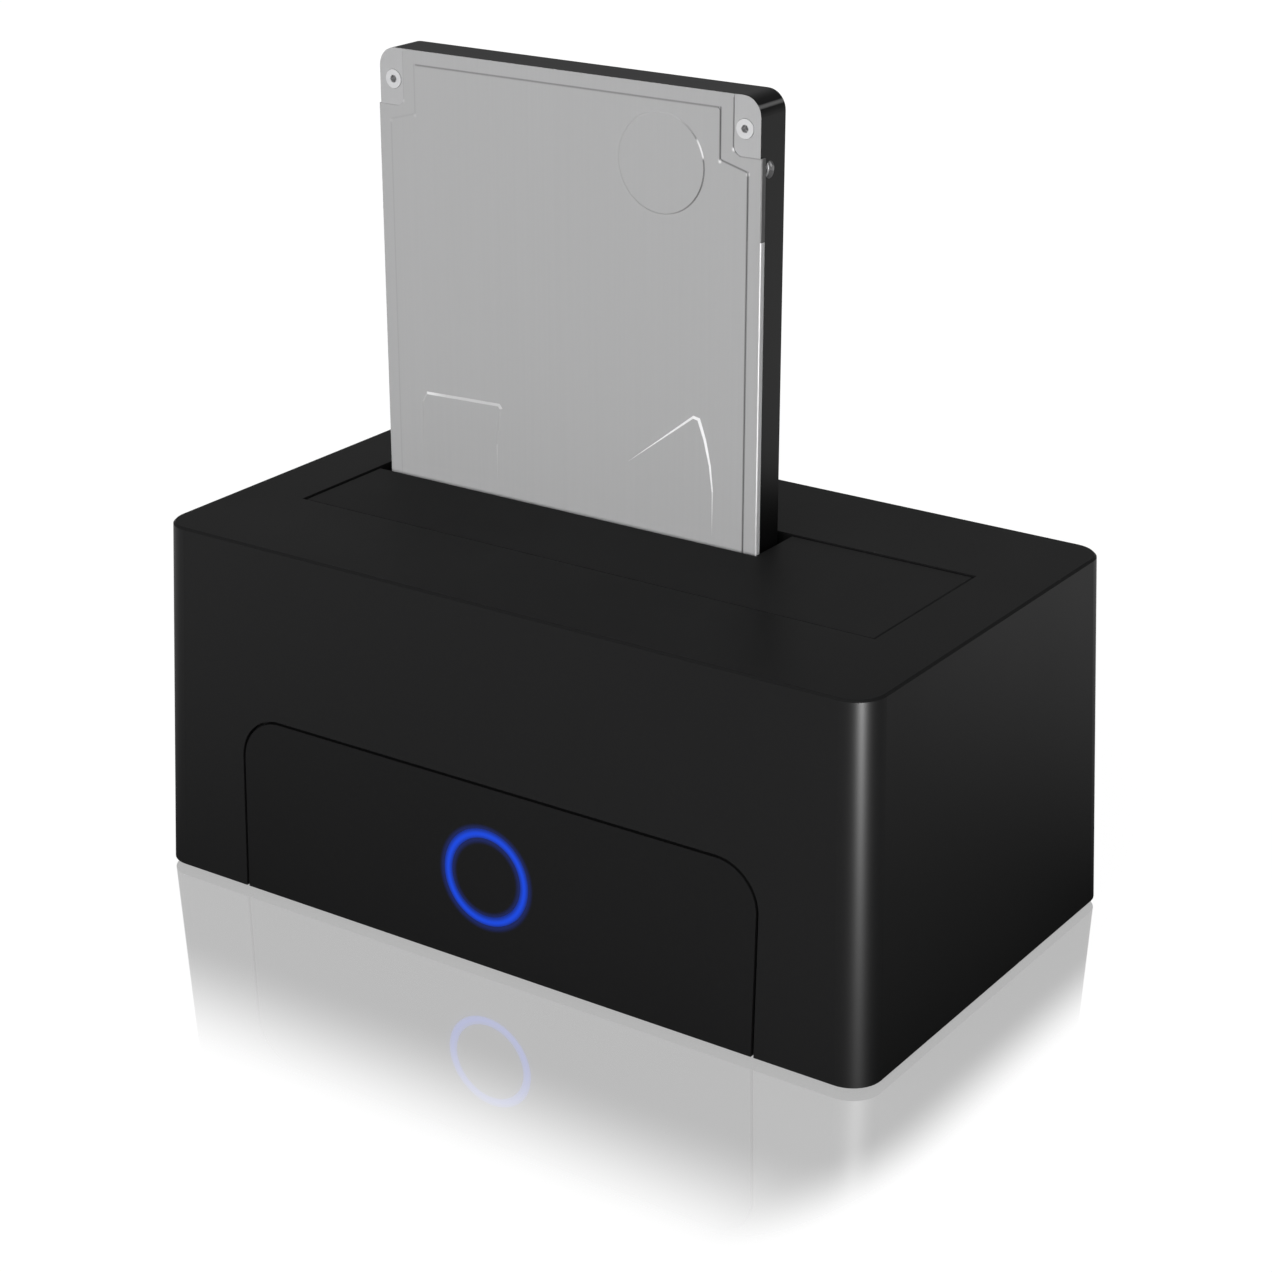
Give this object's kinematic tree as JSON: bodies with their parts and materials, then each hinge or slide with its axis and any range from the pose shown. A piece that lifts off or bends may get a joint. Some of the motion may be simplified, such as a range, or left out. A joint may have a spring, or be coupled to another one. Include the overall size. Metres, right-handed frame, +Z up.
{
  "type": "hard drive docking station",
  "caption": "Desktop docking station with a sprung flap over its slot, a lit ring on the front and a slim bare hard drive standing in it.",
  "frame": {"origin": "on the floor, under the middle of the base", "axes": "+X along the front to the right, +Y to the back, +Z up"},
  "size_m": [0.1304, 0.075, 0.1265],
  "materials": {
    "housing_black": "fine satin",
    "base_black": "fine texture",
    "panel_black": "fine satin",
    "flap_black": "fine satin",
    "well_black": "matte",
    "socket_black": "moulded",
    "rocker_black": "gloss",
    "foot_rubber": "matte",
    "black_steel": "black oxide",
    "bright_steel": "plated",
    "ring_blue": "lit translucent",
    "led_blue": "clear lens",
    "board_green": "solder mask",
    "chip_black": "moulded",
    "can_aluminium": "drawn can",
    "contact_gold": "gold plated",
    "tongue_blue": "moulded",
    "casting_grey": "dark cast, machined face",
    "cover_grey": "brushed sheet"
  },
  "bodies": {
    "dock": {"top_housing": "housing_black", "base_cover": "base_black", "rubber_feet": "foot_rubber", "case_screws": "black_steel", "front_panel": "panel_black", "light_guide": "ring_blue", "ring_centre": "panel_black", "led_board": "board_green", "ring_leds": "led_blue", "led_screws": "bright_steel", "hinge_pin": "bright_steel", "flap_spring": "bright_steel", "drive_well": "well_black", "well_screws": "bright_steel", "drive_socket": "socket_black", "socket_contacts": "contact_gold", "main_board": "board_green", "board_screws": "bright_steel", "led_header": "socket_black", "bridge_chip": "chip_black", "memory_chip": "chip_black", "regulator_chip": "chip_black", "clock_crystal": "bright_steel", "capacitors": "can_aluminium", "power_coil": "chip_black", "usb_socket": "bright_steel", "usb_tongues": "tongue_blue", "power_inlet": "socket_black", "inlet_pin": "contact_gold", "switch_body": "socket_black", "switch_terminals": "contact_gold"},
    "flap": {"flap": "flap_black"},
    "rocker": {"power_rocker": "rocker_black"},
    "drive": {"drive_base": "casting_grey", "drive_cover": "cover_grey", "drive_screws": "bright_steel", "drive_board": "board_green", "drive_motor": "bright_steel", "drive_plug": "socket_black", "plug_contacts": "contact_gold"}
  },
  "joints": [
    {"name": "flap_hinge", "type": "hinge", "parent": "dock", "child": "flap", "pos_m": [0, -0.0181, 0.0548], "axis": [-1, 0, 0], "range_deg": [0, 88], "stiffness_Nm_per_rad": 0.002, "springref_deg": -68.75, "deforming": ["flap_spring"]},
    {"name": "power_rocker_tip", "type": "hinge", "parent": "dock", "child": "rocker", "pos_m": [-0.034, 0.03358, 0.02329], "axis": [0, -0.0337, 0.9994], "range_deg": [0, 16]},
    {"name": "drive_lift", "type": "slide", "parent": "dock", "child": "drive", "axis": [0, 0, 1], "range_m": [0, 0.04]}
  ]
}
